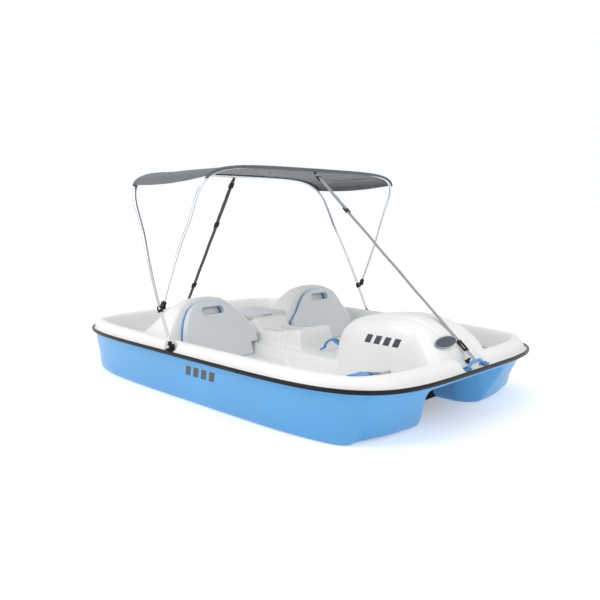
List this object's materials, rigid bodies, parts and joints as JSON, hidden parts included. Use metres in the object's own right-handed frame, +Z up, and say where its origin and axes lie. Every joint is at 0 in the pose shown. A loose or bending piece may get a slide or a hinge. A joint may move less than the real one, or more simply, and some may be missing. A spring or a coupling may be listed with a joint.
{
  "type": "pedal boat",
  "caption": "Twin-pontoon pedal boat with a blue hull, white deck, paddle cover, seat hoods, grey seat backs, tiller handle and a folding sun canopy on tube bows.",
  "frame": {"origin": "on the ground under the middle of the boat's box, halfway along and across the hull", "axes": "+X points to the bow, +Y to port (left when looking forward), +Z up"},
  "size_m": [2.3, 1.6434, 1.1785],
  "materials": {
    "hull_blue": "moulded polyethylene, satin",
    "deck_white": "moulded polyethylene, satin",
    "rail_black": "extruded vinyl, semi-gloss",
    "foam": "expanded foam",
    "black_plastic": "injection moulded, matt",
    "blue_plastic": "injection moulded, satin",
    "grey_plastic": "blow moulded, fine grain",
    "steel": "zinc plated",
    "tube": "anodised, satin",
    "canopy_cloth": "coated woven polyester",
    "webbing": "woven webbing",
    "badge": "dark chrome"
  },
  "bodies": {
    "boat": {"hull_shell": "hull_blue", "deck_shell": "deck_white", "rub_rail": "rail_black", "rail_joint_caps": "rail_black", "starboard_float": "foam", "port_float": "foam", "wheel_housing": "hull_blue", "crank_bearings": "black_plastic", "bearing_screws": "steel", "steering_bush": "deck_white", "rudder_bush": "black_plastic", "cooler_tub": "deck_white", "cooler_hinge_pin": "steel", "cup_holders": "deck_white", "drain_plugs": "black_plastic", "bow_handle": "blue_plastic", "bow_handle_screws": "black_plastic", "bow_pad_eye": "black_plastic", "stern_eye": "black_plastic", "dome_badge": "badge", "canopy_mounts": "black_plastic", "mount_screws": "steel", "mount_pins": "steel", "rear_strap": "webbing", "rear_strap_fittings": "black_plastic", "strap_deck_loop": "webbing"},
    "crank": {"crankshaft": "steel", "paddle_wheel": "black_plastic", "wheel_bolts": "steel"},
    "pedal_starboard_outer": {"pedal_starboard_outer": "blue_plastic"},
    "pedal_starboard_inner": {"pedal_starboard_inner": "blue_plastic"},
    "pedal_port_inner": {"pedal_port_inner": "blue_plastic"},
    "pedal_port_outer": {"pedal_port_outer": "blue_plastic"},
    "steering": {"steering_handle": "blue_plastic", "steering_arm": "black_plastic"},
    "steering_rod": {"steering_rod": "steel"},
    "rudder": {"rudder_shaft": "steel", "rudder_blade": "black_plastic", "rudder_nut": "steel"},
    "starboard_back": {"starboard_back_front": "grey_plastic", "starboard_back_rear": "blue_plastic"},
    "port_back": {"port_back_front": "grey_plastic", "port_back_rear": "blue_plastic"},
    "cooler_lid": {"cooler_lid": "grey_plastic"},
    "main_bow": {"main_bow": "tube", "main_bow_ends": "black_plastic", "hinge_clamps": "black_plastic", "clamp_pins": "steel", "canopy_fabric": "canopy_cloth"},
    "front_bow": {"front_bow": "tube", "front_bow_ends": "black_plastic", "front_strap": "webbing", "front_strap_fittings": "black_plastic"}
  },
  "joints": [
    {"name": "crank_spin", "type": "hinge", "parent": "boat", "child": "crank", "pos_m": [0.79, 0, 0.21], "axis": [0, 1, 0], "continuous": true},
    {"name": "pedal_starboard_outer_spin", "type": "hinge", "parent": "crank", "child": "pedal_starboard_outer", "pos_m": [0.86878, -0.466, 0.22389], "axis": [0, 1, 0], "continuous": true},
    {"name": "pedal_starboard_inner_spin", "type": "hinge", "parent": "crank", "child": "pedal_starboard_inner", "pos_m": [0.71122, -0.342, 0.19611], "axis": [0, 1, 0], "continuous": true},
    {"name": "pedal_port_inner_spin", "type": "hinge", "parent": "crank", "child": "pedal_port_inner", "pos_m": [0.71122, 0.342, 0.19611], "axis": [0, 1, 0], "continuous": true},
    {"name": "pedal_port_outer_spin", "type": "hinge", "parent": "crank", "child": "pedal_port_outer", "pos_m": [0.86878, 0.466, 0.22389], "axis": [0, 1, 0], "continuous": true},
    {"name": "steering_turn", "type": "hinge", "parent": "boat", "child": "steering", "pos_m": [0.32, 0, 0.2], "axis": [0, 0, 1], "range_deg": [-30, 30]},
    {"name": "steering_rod_slide", "type": "slide", "parent": "boat", "child": "steering_rod", "axis": [1, 0, 0], "range_m": [-0.0351, 0.0351]},
    {"name": "rudder_turn", "type": "hinge", "parent": "boat", "child": "rudder", "pos_m": [-1, 0, 0.17], "axis": [0, 0, 1], "range_deg": [-31, 31]},
    {"name": "starboard_back_lift", "type": "slide", "parent": "boat", "child": "starboard_back", "axis": [0, 0, 1], "range_m": [0, 0.1]},
    {"name": "port_back_lift", "type": "slide", "parent": "boat", "child": "port_back", "axis": [0, 0, 1], "range_m": [0, 0.1]},
    {"name": "cooler_lid_hinge", "type": "hinge", "parent": "boat", "child": "cooler_lid", "pos_m": [-0.522, 0, 0.3343], "axis": [0, -1, 0], "range_deg": [0, 95]},
    {"name": "canopy_fold", "type": "hinge", "parent": "boat", "child": "main_bow", "pos_m": [-0.126, 0, 0.275], "axis": [0, -1, 0], "range_deg": [0, 40], "deforming": ["rear_strap", "rear_strap_fittings"]},
    {"name": "front_bow_fold", "type": "hinge", "parent": "main_bow", "child": "front_bow", "pos_m": [-0.19064, 0, 0.46067], "axis": [0, -1, 0], "range_deg": [0, 40], "deforming": ["canopy_fabric", "front_strap", "front_strap_fittings"]}
  ],
  "couplings": [
    {"joint": "steering_rod_slide", "follows": "steering_turn", "m_per_rad": -0.06685},
    {"joint": "rudder_turn", "follows": "steering_turn", "ratio": 1},
    {"joint": "front_bow_fold", "follows": "canopy_fold", "ratio": 1}
  ]
}
